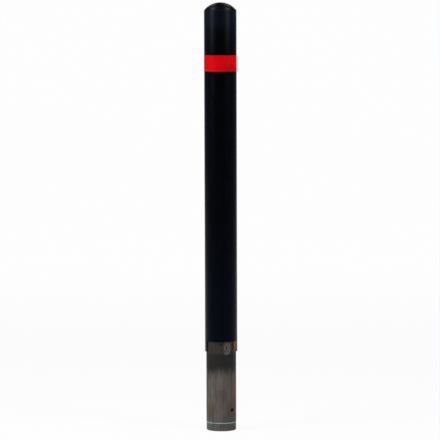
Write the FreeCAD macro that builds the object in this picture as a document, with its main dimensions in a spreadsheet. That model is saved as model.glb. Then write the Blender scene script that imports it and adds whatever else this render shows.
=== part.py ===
"""Retractable bollard: a powder-coated sleeve that telescopes down over a bare steel mast.

Millimetres, +Z up, origin at the centre of the underside of the foot, front of the post toward -Y.
Angles round the post are counted from the front (-Y) toward the right (+X).

Four rigid groups: the mast that stands in the ground, the sleeve that slides on it, the key barrel of the
lock, and the bolt that the barrel throws across the guide slot, under the key of the sleeve.
"""

import FreeCAD, Part
import math
import os
import sys

import Sketcher

doc = FreeCAD.newDocument("RetractableBollard")

# ---------------------------------------------------------------------------------------------------------
# Driving dimensions
# ---------------------------------------------------------------------------------------------------------

DIMENSIONS = [
    # alias, value, what it is
    ("sleeve_radius", "50.8", "outside radius of the sleeve, a 4 in tube"),
    ("sleeve_wall", "3.2", "wall of the sleeve"),
    ("sleeve_bottom", "250", "height of the lower edge of the raised sleeve"),
    ("sleeve_length", "1070", "length of the sleeve tube"),
    ("slide_gap", "0.6", "radial gap between sleeve bore and mast"),
    ("mast_wall", "3", "wall of the mast tube"),
    ("mast_top", "690", "height of the top of the mast tube"),
    ("travel", "220", "how far the sleeve comes down"),
    ("stop_gap", "0.3", "play left at each end of the travel"),
    ("seat_fit", "0.05", "radial clearance of pieces that seat in one another"),
    ("running_fit", "0.1", "radial clearance of pieces that slide or turn in one another"),
    ("dome_height", "25", "rise of the domed cap above its shoulder"),
    ("cap_wall", "4", "wall of the dome"),
    ("cap_skirt_wall", "3.5", "wall of the skirt of the cap"),
    ("cap_skirt_depth", "30", "how far the skirt reaches into the sleeve"),
    ("cap_screw_drop", "12", "cap screws below the shoulder"),
    ("cap_ring_drop", "23", "cap sealing ring below the shoulder"),
    ("cap_ring_section", "1.2", "section radius of the cap sealing ring"),
    ("ring_groove_play", "0.3", "extra width of a sealing ring's groove, each side"),
    ("band_drop", "139", "upper edge of the reflective band below the shoulder"),
    ("band_width", "50", "width of the reflective band"),
    ("band_thickness", "0.3", "thickness of the reflective band"),
    ("band_glue", "0.05", "thickness of the glue under the reflective band"),
    ("band_seam", "4", "angle left open where the ends of the band meet at the rear"),
    ("notch_margin", "0.3", "upper edge of the sleeve's front notch above the lock plate"),
    ("notch_half_angle", "64", "half of the angle that the notch spans"),
    ("pad_angle", "12", "angle that the bronze guide pad spans"),
    ("pad_drop", "31", "height of the bronze guide pad"),
    ("pad_gap", "0.3", "gap between the guide pad and the mast"),
    ("wear_band_rise", "5", "wear band above the guide key"),
    ("wear_band_width", "30", "width of the wear band"),
    ("wear_band_inset", "1", "depth of the wear band's groove in the sleeve"),
    ("foot_height", "24", "height of the foot below its ring"),
    ("foot_chamfer", "1.5", "chamfer round the underside of the foot"),
    ("foot_spigot", "26", "height of the foot's spigot above the foot"),
    ("foot_wall", "8", "wall of the spigot"),
    ("foot_floor", "10", "thickness of the foot's floor"),
    ("drain_radius", "8", "radius of the drain hole in the foot"),
    ("foot_ring_height", "3", "height of the pale ring"),
    ("foot_inset", "0.6", "how far the foot lies under the mast's surface"),
    ("foot_ring_inset", "0.1", "how far the pale ring lies under the mast's surface"),
    ("foot_screw_rise", "11", "foot screws above the lower edge of the mast tube"),
    ("cross_hole_height", "66", "height of the cross hole"),
    ("cross_hole_angle", "46", "cross hole round from the front"),
    ("cross_hole_radius", "5.75", "radius of the cross hole"),
    ("bush_wall", "3.5", "wall of the slide bush inside the mast"),
    ("bush_skirt", "25", "depth of the slide bush inside the mast"),
    ("bush_height", "15", "height of the slide bush above the mast"),
    ("bush_chamfer", "1.5", "chamfer on the top of the slide bush"),
    ("bush_screw_drop", "13", "bush screws below the top of the mast"),
    ("seat_height", "400", "height of the underside of the spring seat"),
    ("seat_thickness", "12", "thickness of the spring seat"),
    ("web_hole_radius", "9", "radius of the holes in the spring seat and the crosshead"),
    ("web_hole_pitch", "27", "pitch radius of those holes"),
    ("spring_radius", "11", "outside radius of the gas spring cylinder"),
    ("spring_wall", "1.5", "wall of the gas spring cylinder"),
    ("spring_floor", "6", "thickness of the closed end of the cylinder"),
    ("spring_length", "279", "length of the gas spring cylinder"),
    ("stud_radius", "5", "radius of the stud under the cylinder and of the rod"),
    ("stud_length", "25", "length of the stud under the cylinder"),
    ("gland_height", "12", "height of the rod gland"),
    ("gland_sink", "1", "depth of the gland under the rim of the cylinder"),
    ("rebound_gap", "8", "gap between piston and gland with the sleeve raised"),
    ("piston_height", "12", "height of the piston"),
    ("piston_groove", "3", "height of the groove in the piston"),
    ("piston_groove_depth", "1.2", "depth of the groove in the piston"),
    ("crosshead_height", "12", "thickness of the crosshead"),
    ("buffer_height", "8", "height of the rubber buffer"),
    ("buffer_gap", "0.5", "gap left under the buffer with the sleeve down"),
    ("buffer_wall", "5", "wall of the rubber buffer"),
    ("nut_height", "8", "height of the M10 nuts"),
    ("nut_radius", "9.8", "corner radius of the M10 nuts"),
    ("screw_radius", "2.5", "shank radius of the M5 countersunk screws"),
    ("screw_head_radius", "5", "head radius of the M5 countersunk screws"),
    ("screw_length", "14", "length of the M5 countersunk screws"),
    ("short_screw_length", "6.5", "length of the short M5 screws in the cap and the bush"),
    ("screw_sink", "0.3", "depth of the screw heads under the surface"),
    ("screw_clearance", "0.1", "clearance round the screws"),
    ("socket_radius", "1.7", "corner radius of the hexagon socket of the M5 screws"),
    ("socket_depth", "1.6", "depth of the hexagon socket of the M5 screws"),
    ("screw_spread", "70", "angle between neighbours of the three rear screws"),
    ("lock_height", "262.5", "height of the lock's axis"),
    ("lock_angle", "22", "lock's axis round from the front"),
    ("plate_width", "24.4", "width of the lock's oval plate"),
    ("plate_height", "40.4", "height of the lock's oval plate"),
    ("plate_gap", "0.5", "gap round the oval plate in its window"),
    ("plate_screw_rise", "15.5", "plate screws above and below the lock's axis"),
    ("small_screw_radius", "1.5", "shank radius of the M3 plate screws"),
    ("small_head_radius", "3", "head radius of the M3 plate screws"),
    ("small_screw_length", "10", "length of the M3 plate screws"),
    ("small_socket_radius", "1.1", "corner radius of the hexagon socket of the M3 screws"),
    ("small_socket_depth", "1", "depth of the hexagon socket of the M3 screws"),
    ("housing_width", "44", "width of the lock housing"),
    ("housing_height", "48", "height of the lock housing"),
    ("housing_back", "3.5", "back face of the lock housing in front of the post's axis"),
    ("housing_screw_radius", "2", "shank radius of the M4 housing screws"),
    ("housing_head_radius", "3.7", "head radius of the M4 housing screws"),
    ("housing_screw_turn", "21", "housing screws round from the lock's axis"),
    ("housing_screw_rise", "12.5", "housing screws above and below the lock's axis"),
    ("barrel_radius", "9", "radius of the key barrel"),
    ("barrel_face", "45.9", "face of the key barrel in front of the post's axis"),
    ("barrel_end", "8.2", "back end of the key barrel in front of the post's axis"),
    ("flange_radius", "11", "radius of the barrel's retaining flange"),
    ("flange_face", "42.4", "front of the flange in front of the post's axis"),
    ("flange_height", "3", "thickness of the flange"),
    ("keyway_width", "2.2", "width of the key slot"),
    ("keyway_height", "11", "height of the key slot"),
    ("keyway_depth", "16", "depth of the key slot"),
    ("tail_width", "6", "width of the barrel's square tail"),
    ("cam_radius", "12", "radius of the cam disc"),
    ("cam_height", "4", "thickness of the cam disc"),
    ("drive_pin_radius", "2.5", "radius of the cam's drive pin"),
    ("drive_pin_offset", "8", "drive pin from the lock's axis"),
    ("barrel_turn", "90", "turn of the key that throws the bolt"),
    ("yoke_play", "0.4", "play of the drive pin in the bolt's slot, each side"),
    ("bolt_thickness", "6", "thickness of the bolt"),
    ("bolt_height", "26", "height of the bolt"),
    ("bolt_tail", "18", "tail of the withdrawn bolt to the left of the lock's axis"),
    ("bolt_reach", "46.4", "tip of the thrown bolt from the post's axis"),
    ("guide_play", "0.2", "play of the bolt in its guide and of the key in its slot"),
    ("guide_left", "22", "left end of the bolt guide from the lock's axis"),
    ("guide_right", "33", "right end of the bolt guide from the lock's axis"),
    ("guide_height", "40", "height of the bolt guide"),
    ("guide_floor", "4.5", "thickness of the back of the bolt guide"),
    ("guide_screw_across", "17", "guide screws left and right of the lock's axis"),
    ("guide_screw_rise", "16.6", "guide screws above and below the lock's axis"),
    ("guide_screw_radius", "2", "shank radius of the M4 guide screws"),
    ("guide_head_radius", "3.3", "head radius of the M4 guide screws"),
    ("guide_head_height", "3", "head height of the M4 guide screws"),
    ("guide_screw_grip", "10", "thread of the guide screws in the housing"),
    ("key_width", "10", "width of the sleeve's guide key"),
    ("key_height", "24", "height of the sleeve's guide key"),
    ("key_inner", "40", "inner face of the guide key from the post's axis"),
    ("key_play", "0.5", "play between the guide key and the thrown bolt"),
    ("key_screw_rise", "6", "key screws above and below the middle of the key"),
    ("key_screw_length", "8.5", "length of the key screws"),
]


class Size:
    """A length or an angle: the expression that drives it, and its present value for a first sketch."""

    def __init__(self, text, number):
        self.text = text
        self.number = number

    def __add__(self, other):
        other = as_size(other)
        return Size(f"({self.text} + {other.text})", self.number + other.number)

    def __sub__(self, other):
        other = as_size(other)
        return Size(f"({self.text} - {other.text})", self.number - other.number)

    def __mul__(self, other):
        other = as_size(other)
        return Size(f"({self.text} * {other.text})", self.number * other.number)

    def __truediv__(self, other):
        other = as_size(other)
        return Size(f"({self.text} / {other.text})", self.number / other.number)

    def __neg__(self):
        return Size(f"(-{self.text})", -self.number)


def as_size(value):
    """A Size as it is, or a plain number as a Size."""
    if isinstance(value, Size):
        return value
    return Size(str(value), float(value))


def fill_sheet():
    """Write the driving dimensions to the spreadsheet and hand them back as Sizes by alias."""
    sheet = doc.addObject("Spreadsheet::Sheet", "Sizes")
    sizes = {}
    for row, (alias, value, note) in enumerate(DIMENSIONS, start=1):
        sheet.set(f"A{row}", value)
        sheet.setAlias(f"A{row}", alias)
        sheet.set(f"B{row}", note)
        sizes[alias] = Size(f"Sizes.{alias}", float(value))
    doc.recompute()
    return sizes


S = fill_sheet()
NOTHING = as_size(0)

# Sizes that follow from the driving ones.
SLEEVE_BORE = S["sleeve_radius"] - S["sleeve_wall"]
MAST_RADIUS = SLEEVE_BORE - S["slide_gap"]
MAST_BORE = MAST_RADIUS - S["mast_wall"]
IN_SLEEVE = SLEEVE_BORE - S["seat_fit"]
IN_MAST = MAST_BORE - S["seat_fit"]
SHOULDER = S["sleeve_bottom"] + S["sleeve_length"]
NOTCH_TOP = S["lock_height"] + S["plate_height"] / 2 + S["notch_margin"]
TUBE_BOTTOM = S["foot_height"] + S["foot_ring_height"]
FOOT_RADIUS = MAST_RADIUS - S["foot_inset"]
SEAT_TOP = S["seat_height"] + S["seat_thickness"]
SPRING_TOP = SEAT_TOP + S["spring_length"]
SPRING_BORE = S["spring_radius"] - S["spring_wall"]
ROD_RADIUS = S["stud_radius"]
GLAND_BOTTOM = SPRING_TOP - S["gland_sink"] - S["gland_height"]
PISTON_BOTTOM = GLAND_BOTTOM - S["rebound_gap"] - S["piston_height"]
BUSH_TOP = S["mast_top"] + S["bush_height"]
BUFFER_BOTTOM = BUSH_TOP + S["buffer_gap"] + S["travel"]
CROSSHEAD_BOTTOM = BUFFER_BOTTOM + S["buffer_height"]
CROSSHEAD_TOP = CROSSHEAD_BOTTOM + S["crosshead_height"]
ROD_TOP = CROSSHEAD_TOP + S["nut_height"] + 3
KEY_ANGLE = S["lock_angle"] + 90
KEY_BOTTOM = S["lock_height"] + S["bolt_height"] / 2 + S["key_play"]
KEY_MIDDLE = KEY_BOTTOM + S["key_height"] / 2
WEAR_BAND_BOTTOM = KEY_BOTTOM + S["key_height"] + S["wear_band_rise"]
WEAR_BAND_TOP = WEAR_BAND_BOTTOM + S["wear_band_width"]
BARREL_BACK = S["barrel_end"] - S["cam_height"]
OVERSHOOT = 5

# The drive pin swings through barrel_turn, evenly to both sides of upright, so the bolt's throw is the chord.
HALF_SWING = math.radians(S["barrel_turn"].number / 2)
PIN_SIDE = S["drive_pin_offset"] * Size("sin(Sizes.barrel_turn / 2 * 1deg)", math.sin(HALF_SWING))
PIN_RISE = S["drive_pin_offset"] * Size("cos(Sizes.barrel_turn / 2 * 1deg)", math.cos(HALF_SWING))
BOLT_THROW = PIN_SIDE * 2
BOLT_TIP = S["bolt_reach"] - BOLT_THROW

# ---------------------------------------------------------------------------------------------------------
# Ways of making solids
# ---------------------------------------------------------------------------------------------------------

NODES = {}


def node(label, made):
    """Name the finished solid of a sub-part; its label names the file that it is written to."""
    made.Label = label
    NODES[label] = made
    return made


def bound(kind, name, **sizes):
    """A Part primitive with its sizes bound to the sheet."""
    made = doc.addObject(kind, name)
    for key, size in sizes.items():
        made.setExpression(key, as_size(size).text)
    return made


def put(made, angle=NOTHING, lift=NOTHING, right=NOTHING, back=NOTHING, up=NOTHING, tilt=0):
    """Turn a piece to an angle round the post at a height, then shift it and tilt it in that frame.

    In the turned frame +X points right, +Y back toward the axis of the post and beyond, +Z up.
    """
    right = as_size(right)
    back = as_size(back)
    up = as_size(up)
    made.setExpression(
        "Placement",
        f"placement(vector(0; 0; {as_size(lift).text}); rotation(vector(0; 0; 1); {as_size(angle).text})) * "
        f"placement(vector({right.text}; {back.text}; {up.text}); rotation(vector(1; 0; 0); {tilt}))",
    )
    return made


def outward(made, angle, lift, start, right=NOTHING, up=NOTHING):
    """Point a round piece outward from the axis of the post, its base at the radius `start`."""
    return put(made, angle, lift, right=right, back=-as_size(start), up=up, tilt=90)


def fused(name, pieces):
    """One solid from several pieces."""
    made = doc.addObject("Part::MultiFuse", name)
    made.Shapes = pieces
    return made


def without(name, base, tools):
    """A solid with every tool cut out of it."""
    made = doc.addObject("Part::Cut", name)
    made.Base = base
    made.Tool = tools[0] if len(tools) == 1 else fused(name + "_tools", tools)
    return made


def shared(name, first, second):
    """What two solids have in common."""
    made = doc.addObject("Part::MultiCommon", name)
    made.Shapes = [first, second]
    return made


def grouped(name, pieces):
    """Separate solids that share one node."""
    made = doc.addObject("Part::Compound", name)
    made.Links = pieces
    return made


def turned(name, outline):
    """A body of revolution about the axis of the post, from an outline of (radius, height) corners."""
    body = doc.addObject("PartDesign::Body", name)
    sketch = body.newObject("Sketcher::SketchObject", name + "_profile")
    plane = [feature for feature in body.Origin.OriginFeatures if feature.Role == "XZ_Plane"][0]
    sketch.AttachmentSupport = [(plane, "")]
    sketch.MapMode = "FlatFace"
    corners = [(as_size(radius), as_size(height)) for radius, height in outline]
    points = [FreeCAD.Vector(radius.number, height.number, 0) for radius, height in corners]
    count = len(points)
    for here in range(count):
        sketch.addGeometry(Part.LineSegment(points[here], points[(here + 1) % count]), False)
    for here in range(count):
        sketch.addConstraint(Sketcher.Constraint("Coincident", here, 2, (here + 1) % count, 1))
    for here, (radius, height) in enumerate(corners):
        across = sketch.addConstraint(Sketcher.Constraint("DistanceX", -1, 1, here, 1, radius.number))
        sketch.setExpression(f"Constraints[{across}]", radius.text)
        along = sketch.addConstraint(Sketcher.Constraint("DistanceY", -1, 1, here, 1, height.number))
        sketch.setExpression(f"Constraints[{along}]", height.text)
    revolution = body.newObject("PartDesign::Revolution", name + "_turned")
    revolution.Profile = sketch
    revolution.ReferenceAxis = (sketch, ["V_Axis"])
    revolution.Angle = 360
    return body


def ring(name, inner, outer, bottom, top):
    """A plain ring or tube about the axis of the post."""
    return turned(name, [(inner, bottom), (outer, bottom), (outer, top), (inner, top)])


def wedge(name, radius, bottom, height, start, sweep):
    """A slice of a cylinder about the axis of the post, from one angle round the post through another."""
    made = bound("Part::Cylinder", name, Radius=radius, Height=height, Angle=sweep)
    return put(made, as_size(start) - 90, bottom)


def outward_rod(name, angle, lift, start, end, radius, right=NOTHING, up=NOTHING):
    """A round rod pointing outward from the axis of the post between two radii."""
    start = as_size(start)
    made = bound("Part::Cylinder", name, Radius=radius, Height=as_size(end) - start)
    return outward(made, angle, lift, start, right, up)


def block(name, angle, lift, left, right, front, back, bottom, top):
    """A box in the turned frame; `front` and `back` count from the axis of the post, positive to the back."""
    left = as_size(left)
    front = as_size(front)
    bottom = as_size(bottom)
    made = bound(
        "Part::Box",
        name,
        Length=as_size(right) - left,
        Width=as_size(back) - front,
        Height=as_size(top) - bottom,
    )
    return put(made, angle, lift, left, front, bottom)


def outward_oval(name, angle, lift, start, end, width, height):
    """An upright oval prism with round ends, pointing outward between two radii."""
    half = width / 2
    reach = (height - width) / 2
    upper = outward_rod(name + "_upper", angle, lift, start, end, half, up=reach)
    lower = outward_rod(name + "_lower", angle, lift, start, end, half, up=-reach)
    middle = block(name + "_middle", angle, lift, -half, half, -as_size(end), -as_size(start), -reach, reach)
    return fused(name, [upper, lower, middle])


def upright_rod(name, radius, bottom, top, right=NOTHING, back=NOTHING, angle=NOTHING):
    """A round rod parallel to the axis of the post."""
    bottom = as_size(bottom)
    made = bound("Part::Cylinder", name, Radius=radius, Height=as_size(top) - bottom)
    return put(made, angle, bottom, right, back)


def nut(name, bottom):
    """A plain hexagon nut on the axis of the post."""
    blank = bound("Part::Prism", name + "_blank", Circumradius=S["nut_radius"], Height=S["nut_height"])
    blank.Polygon = 6
    put(blank, lift=bottom)
    bore = upright_rod(name + "_bore", ROD_RADIUS + S["seat_fit"], bottom - 1, bottom + S["nut_height"] + 1)
    return without(name, blank, [bore])


class ScrewKind:
    """The sizes of one kind of countersunk socket screw."""

    def __init__(self, shank, head, length, socket, socket_depth):
        self.shank = shank
        self.head = head
        self.length = length
        self.socket = socket
        self.socket_depth = socket_depth


LONG_SCREW = ScrewKind(
    S["screw_radius"], S["screw_head_radius"], S["screw_length"], S["socket_radius"], S["socket_depth"]
)
SHORT_SCREW = ScrewKind(
    S["screw_radius"], S["screw_head_radius"], S["short_screw_length"], S["socket_radius"], S["socket_depth"]
)
KEY_SCREW = ScrewKind(
    S["screw_radius"], S["screw_head_radius"], S["key_screw_length"], S["socket_radius"], S["socket_depth"]
)
HOUSING_SCREW = ScrewKind(
    S["housing_screw_radius"],
    S["housing_head_radius"],
    S["screw_length"],
    S["small_socket_radius"],
    S["small_socket_depth"],
)
PLATE_SCREW = ScrewKind(
    S["small_screw_radius"],
    S["small_head_radius"],
    S["small_screw_length"],
    S["small_socket_radius"],
    S["small_socket_depth"],
)


def countersunk(name, kind, angle, lift, face):
    """A countersunk screw pointing at the axis of the post, its head flush at the radius `face`."""
    neck = face - (kind.head - kind.shank)
    shank = outward_rod(name + "_shank", angle, lift, face - kind.length, neck, kind.shank)
    head = bound(
        "Part::Cone", name + "_head", Radius1=kind.shank, Radius2=kind.head, Height=kind.head - kind.shank
    )
    outward(head, angle, lift, neck)
    socket = bound("Part::Prism", name + "_hexagon", Circumradius=kind.socket, Height=kind.socket_depth + 1)
    socket.Polygon = 6
    outward(socket, angle, lift, face - kind.socket_depth)
    return without(name, fused(name + "_solid", [shank, head]), [socket])


def countersink(name, kind, angle, lift, face):
    """The hole for that screw, open to the outside."""
    play = S["screw_clearance"]
    neck = face - (kind.head - kind.shank)
    shank = outward_rod(
        name + "_drill", angle, lift, face - kind.length - play, face, kind.shank + play
    )
    head = bound(
        "Part::Cone",
        name + "_sink",
        Radius1=kind.shank + play,
        Radius2=kind.head + play,
        Height=kind.head - kind.shank,
    )
    outward(head, angle, lift, neck)
    mouth = outward_rod(name + "_mouth", angle, lift, face, face + OVERSHOOT, kind.head + play)
    return fused(name, [shank, head, mouth])


def screw_set(label, kind, places, surface):
    """One node with a screw at each (angle, height), and the holes that those screws need."""
    face = surface - S["screw_sink"]
    screws = []
    holes = []
    for number, (angle, lift) in enumerate(places, start=1):
        screws.append(countersunk(f"{label}_{number}", kind, angle, lift, face))
        holes.append(countersink(f"{label}_hole_{number}", kind, angle, lift, face))
    node(label, grouped(label + "_set", screws))
    return holes


def rear_places(lift):
    """Three places at one height, spread evenly about the rear of the post."""
    return [(as_size(180) + S["screw_spread"] * step, lift) for step in (-1, 0, 1)]


def web_holes(name, bottom, top):
    """Four holes through a plate that lies across the post."""
    holes = []
    for number in range(4):
        angle = as_size(45 + 90 * number)
        hole = upright_rod(
            f"{name}_{number}",
            S["web_hole_radius"],
            as_size(bottom) - OVERSHOOT,
            as_size(top) + OVERSHOOT,
            back=-S["web_hole_pitch"],
            angle=angle,
        )
        holes.append(hole)
    return holes


# ---------------------------------------------------------------------------------------------------------
# Mast: the steel tube that stands in the ground, and what is fixed in it
# ---------------------------------------------------------------------------------------------------------


def make_foot(screw_holes):
    """The turned foot that closes the lower end of the mast, with its pale ring."""
    spigot_top = S["foot_height"] + S["foot_spigot"]
    blank = turned(
        "foot_blank",
        [
            (S["drain_radius"], 0),
            (FOOT_RADIUS - S["foot_chamfer"], 0),
            (FOOT_RADIUS, S["foot_chamfer"]),
            (FOOT_RADIUS, S["foot_height"]),
            (IN_MAST, S["foot_height"]),
            (IN_MAST, spigot_top),
            (IN_MAST - S["foot_wall"], spigot_top),
            (IN_MAST - S["foot_wall"], S["foot_floor"]),
            (S["drain_radius"], S["foot_floor"]),
        ],
    )
    node("foot_plug", without("foot_drilled", blank, screw_holes))
    outer = MAST_RADIUS - S["foot_ring_inset"]
    node("foot_ring", ring("foot_ring_body", MAST_BORE, outer, S["foot_height"], TUBE_BOTTOM))


def make_ground_tube(screw_holes):
    """The mast tube: a plain tube with the lock's window, the guide slot and the cross hole."""
    blank = ring("ground_tube_blank", MAST_BORE, MAST_RADIUS, TUBE_BOTTOM, S["mast_top"])
    window = outward_oval(
        "lock_window",
        S["lock_angle"],
        S["lock_height"],
        MAST_BORE - OVERSHOOT,
        MAST_RADIUS + OVERSHOOT,
        S["plate_width"] + S["plate_gap"] * 2,
        S["plate_height"] + S["plate_gap"] * 2,
    )
    slot_half = S["key_width"] / 2 + S["guide_play"]
    slot_end = S["key_height"] / 2 + S["stop_gap"]
    slot = block(
        "guide_slot",
        KEY_ANGLE,
        KEY_MIDDLE,
        -slot_half,
        slot_half,
        -(MAST_RADIUS + OVERSHOOT),
        -(MAST_BORE - OVERSHOOT),
        -(slot_end + S["travel"]),
        slot_end,
    )
    cross_hole = outward_rod(
        "cross_hole",
        S["cross_hole_angle"],
        S["cross_hole_height"],
        -(MAST_RADIUS + OVERSHOOT),
        MAST_RADIUS + OVERSHOOT,
        S["cross_hole_radius"],
    )
    node("ground_tube", without("ground_tube_cut", blank, [window, slot, cross_hole] + screw_holes))


def make_slide_bush(screw_holes):
    """The nylon bush on the top of the mast, on which the sleeve slides."""
    inner = IN_MAST - S["bush_wall"]
    outer = SLEEVE_BORE - S["running_fit"]
    blank = turned(
        "slide_bush_blank",
        [
            (inner, S["mast_top"] - S["bush_skirt"]),
            (IN_MAST, S["mast_top"] - S["bush_skirt"]),
            (IN_MAST, S["mast_top"]),
            (outer, S["mast_top"]),
            (outer, BUSH_TOP - S["bush_chamfer"]),
            (outer - S["bush_chamfer"], BUSH_TOP),
            (inner, BUSH_TOP),
        ],
    )
    node("slide_bush", without("slide_bush_drilled", blank, screw_holes))


def make_spring_seat(screw_holes):
    """The plate across the mast that carries the gas spring, with the nut under it."""
    blank = ring("spring_seat_blank", S["stud_radius"] + S["seat_fit"], IN_MAST, S["seat_height"], SEAT_TOP)
    holes = web_holes("spring_seat_web", S["seat_height"], SEAT_TOP)
    node("spring_seat", without("spring_seat_drilled", blank, holes + screw_holes))
    node("spring_nut", nut("spring_nut_body", S["seat_height"] - S["nut_height"]))


def make_spring_cylinder():
    """The cylinder of the gas spring with the stud under it, and the gland that guides the rod."""
    node(
        "gas_spring_cylinder",
        turned(
            "gas_spring_cylinder_body",
            [
                (0, SEAT_TOP - S["stud_length"]),
                (S["stud_radius"], SEAT_TOP - S["stud_length"]),
                (S["stud_radius"], SEAT_TOP),
                (S["spring_radius"], SEAT_TOP),
                (S["spring_radius"], SPRING_TOP),
                (SPRING_BORE, SPRING_TOP),
                (SPRING_BORE, SEAT_TOP + S["spring_floor"]),
                (0, SEAT_TOP + S["spring_floor"]),
            ],
        ),
    )
    inner = ROD_RADIUS + S["running_fit"]
    outer = SPRING_BORE - S["seat_fit"]
    node("rod_gland", ring("rod_gland_body", inner, outer, GLAND_BOTTOM, GLAND_BOTTOM + S["gland_height"]))


def make_lock_plate(screw_holes):
    """The oval plate that fills the lock's window, flush with the mast, round the key barrel."""
    prism = outward_oval(
        "lock_plate_prism",
        S["lock_angle"],
        S["lock_height"],
        MAST_BORE - OVERSHOOT,
        MAST_RADIUS + OVERSHOOT,
        S["plate_width"],
        S["plate_height"],
    )
    reach = S["plate_height"] / 2 + OVERSHOOT
    wall = ring("lock_plate_wall", MAST_BORE, MAST_RADIUS, S["lock_height"] - reach, S["lock_height"] + reach)
    eye = outward_rod(
        "lock_plate_eye",
        S["lock_angle"],
        S["lock_height"],
        NOTHING,
        MAST_RADIUS + OVERSHOOT,
        S["barrel_radius"] + S["running_fit"],
    )
    blank = shared("lock_plate_blank", prism, wall)
    node("lock_plate", without("lock_plate_drilled", blank, [eye] + screw_holes))


def make_lock_housing(screw_holes):
    """The block behind the lock's window that holds the barrel, its front rounded to the mast's bore."""
    angle = S["lock_angle"]
    lift = S["lock_height"]
    half_width = S["housing_width"] / 2
    half_height = S["housing_height"] / 2
    back = -S["housing_back"]
    blank = block(
        "lock_housing_block",
        angle,
        lift,
        -half_width,
        half_width,
        -MAST_RADIUS,
        back,
        -half_height,
        half_height,
    )
    bore = upright_rod("lock_housing_round", IN_MAST, lift - half_height, lift + half_height)
    play = S["running_fit"]
    barrel = outward_rod("barrel_bore", angle, lift, NOTHING, MAST_RADIUS, S["barrel_radius"] + play)
    flange = outward_rod(
        "flange_bore",
        angle,
        lift,
        S["flange_face"] - S["flange_height"] - play,
        MAST_RADIUS,
        S["flange_radius"] + play,
    )
    cam = outward_rod("cam_recess", angle, lift, NOTHING, S["barrel_end"] + play, S["cam_radius"] + play * 3)
    rounded = shared("lock_housing_blank", blank, bore)
    node("lock_housing", without("lock_housing_cut", rounded, [barrel, flange, cam] + screw_holes))


def guide_screw(name, across, rise):
    """A cap screw that holds the bolt guide to the back of the housing, and the hole that it needs."""
    angle = S["lock_angle"]
    lift = S["lock_height"]
    floor_back = S["bolt_thickness"] / 2 + S["guide_play"] + S["guide_floor"]
    grip_end = S["housing_back"] + S["guide_screw_grip"]
    head = outward_rod(
        name + "_head",
        angle,
        lift,
        -(floor_back + S["guide_head_height"]),
        -floor_back,
        S["guide_head_radius"],
        right=across,
        up=rise,
    )
    shank = outward_rod(
        name + "_shank", angle, lift, -floor_back, grip_end, S["guide_screw_radius"], right=across, up=rise
    )
    hole = outward_rod(
        name + "_hole",
        angle,
        lift,
        -floor_back - 1,
        grip_end + S["screw_clearance"],
        S["guide_screw_radius"] + S["screw_clearance"],
        right=across,
        up=rise,
    )
    return fused(name, [head, shank]), hole


def make_bolt_guide():
    """The channel behind the housing in which the bolt runs, with its four screws; returns their holes."""
    screws = []
    holes = []
    for side in (-1, 1):
        for level in (-1, 1):
            screw, hole = guide_screw(
                f"bolt_guide_screw_{side + level * 2 + 3}",
                S["guide_screw_across"] * side,
                S["guide_screw_rise"] * level,
            )
            screws.append(screw)
            holes.append(hole)
    angle = S["lock_angle"]
    lift = S["lock_height"]
    half_height = S["guide_height"] / 2
    channel_half = S["bolt_height"] / 2 + S["guide_play"]
    channel_back = S["bolt_thickness"] / 2 + S["guide_play"]
    blank = block(
        "bolt_guide_blank",
        angle,
        lift,
        -S["guide_left"],
        S["guide_right"],
        -S["housing_back"],
        channel_back + S["guide_floor"],
        -half_height,
        half_height,
    )
    channel = block(
        "bolt_channel",
        angle,
        lift,
        -(S["guide_left"] + OVERSHOOT),
        S["guide_right"] + OVERSHOOT,
        -(S["housing_back"] + OVERSHOOT),
        channel_back,
        -channel_half,
        channel_half,
    )
    node("bolt_guide", without("bolt_guide_cut", blank, [channel] + holes))
    node("bolt_guide_screws", grouped("bolt_guide_screw_set", screws))
    return holes


# ---------------------------------------------------------------------------------------------------------
# Lock barrel: the piece that the key turns, with its cam
# ---------------------------------------------------------------------------------------------------------


def make_lock_barrel():
    """The key barrel with its flange, key slot and square tail."""
    angle = S["lock_angle"]
    lift = S["lock_height"]
    flange_back = S["flange_face"] - S["flange_height"]
    plug = outward_rod("barrel_plug", angle, lift, S["barrel_end"], S["barrel_face"], S["barrel_radius"])
    flange = outward_rod("barrel_flange", angle, lift, flange_back, S["flange_face"], S["flange_radius"])
    half_tail = S["tail_width"] / 2
    tail = block(
        "barrel_tail",
        angle,
        lift,
        -half_tail,
        half_tail,
        -(S["barrel_end"] + 1),
        -BARREL_BACK,
        -half_tail,
        half_tail,
    )
    keyway = block(
        "barrel_keyway",
        angle,
        lift,
        -S["keyway_width"] / 2,
        S["keyway_width"] / 2,
        -(S["barrel_face"] + 1),
        -(S["barrel_face"] - S["keyway_depth"]),
        -S["keyway_height"] / 2,
        S["keyway_height"] / 2,
    )
    blank = fused("lock_barrel_blank", [plug, flange, tail])
    node("lock_barrel", without("lock_barrel_cut", blank, [keyway]))


def make_lock_cam():
    """The disc on the barrel's tail, with the drive pin that carries the bolt."""
    angle = S["lock_angle"]
    lift = S["lock_height"]
    front = S["barrel_end"] - S["seat_fit"]
    disc = outward_rod("cam_disc", angle, lift, BARREL_BACK, front, S["cam_radius"])
    pin_back = -(S["bolt_thickness"] / 2)
    pin = outward_rod(
        "cam_pin", angle, lift, pin_back, front - 1, S["drive_pin_radius"], right=-PIN_SIDE, up=PIN_RISE
    )
    half_hole = S["tail_width"] / 2 + S["seat_fit"]
    hole = block(
        "cam_hole",
        angle,
        lift,
        -half_hole,
        half_hole,
        -(S["barrel_end"] + 1),
        -(BARREL_BACK - 1),
        -half_hole,
        half_hole,
    )
    node("lock_cam", without("lock_cam_cut", fused("lock_cam_blank", [disc, pin]), [hole]))


# ---------------------------------------------------------------------------------------------------------
# Lock bolt
# ---------------------------------------------------------------------------------------------------------


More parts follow.
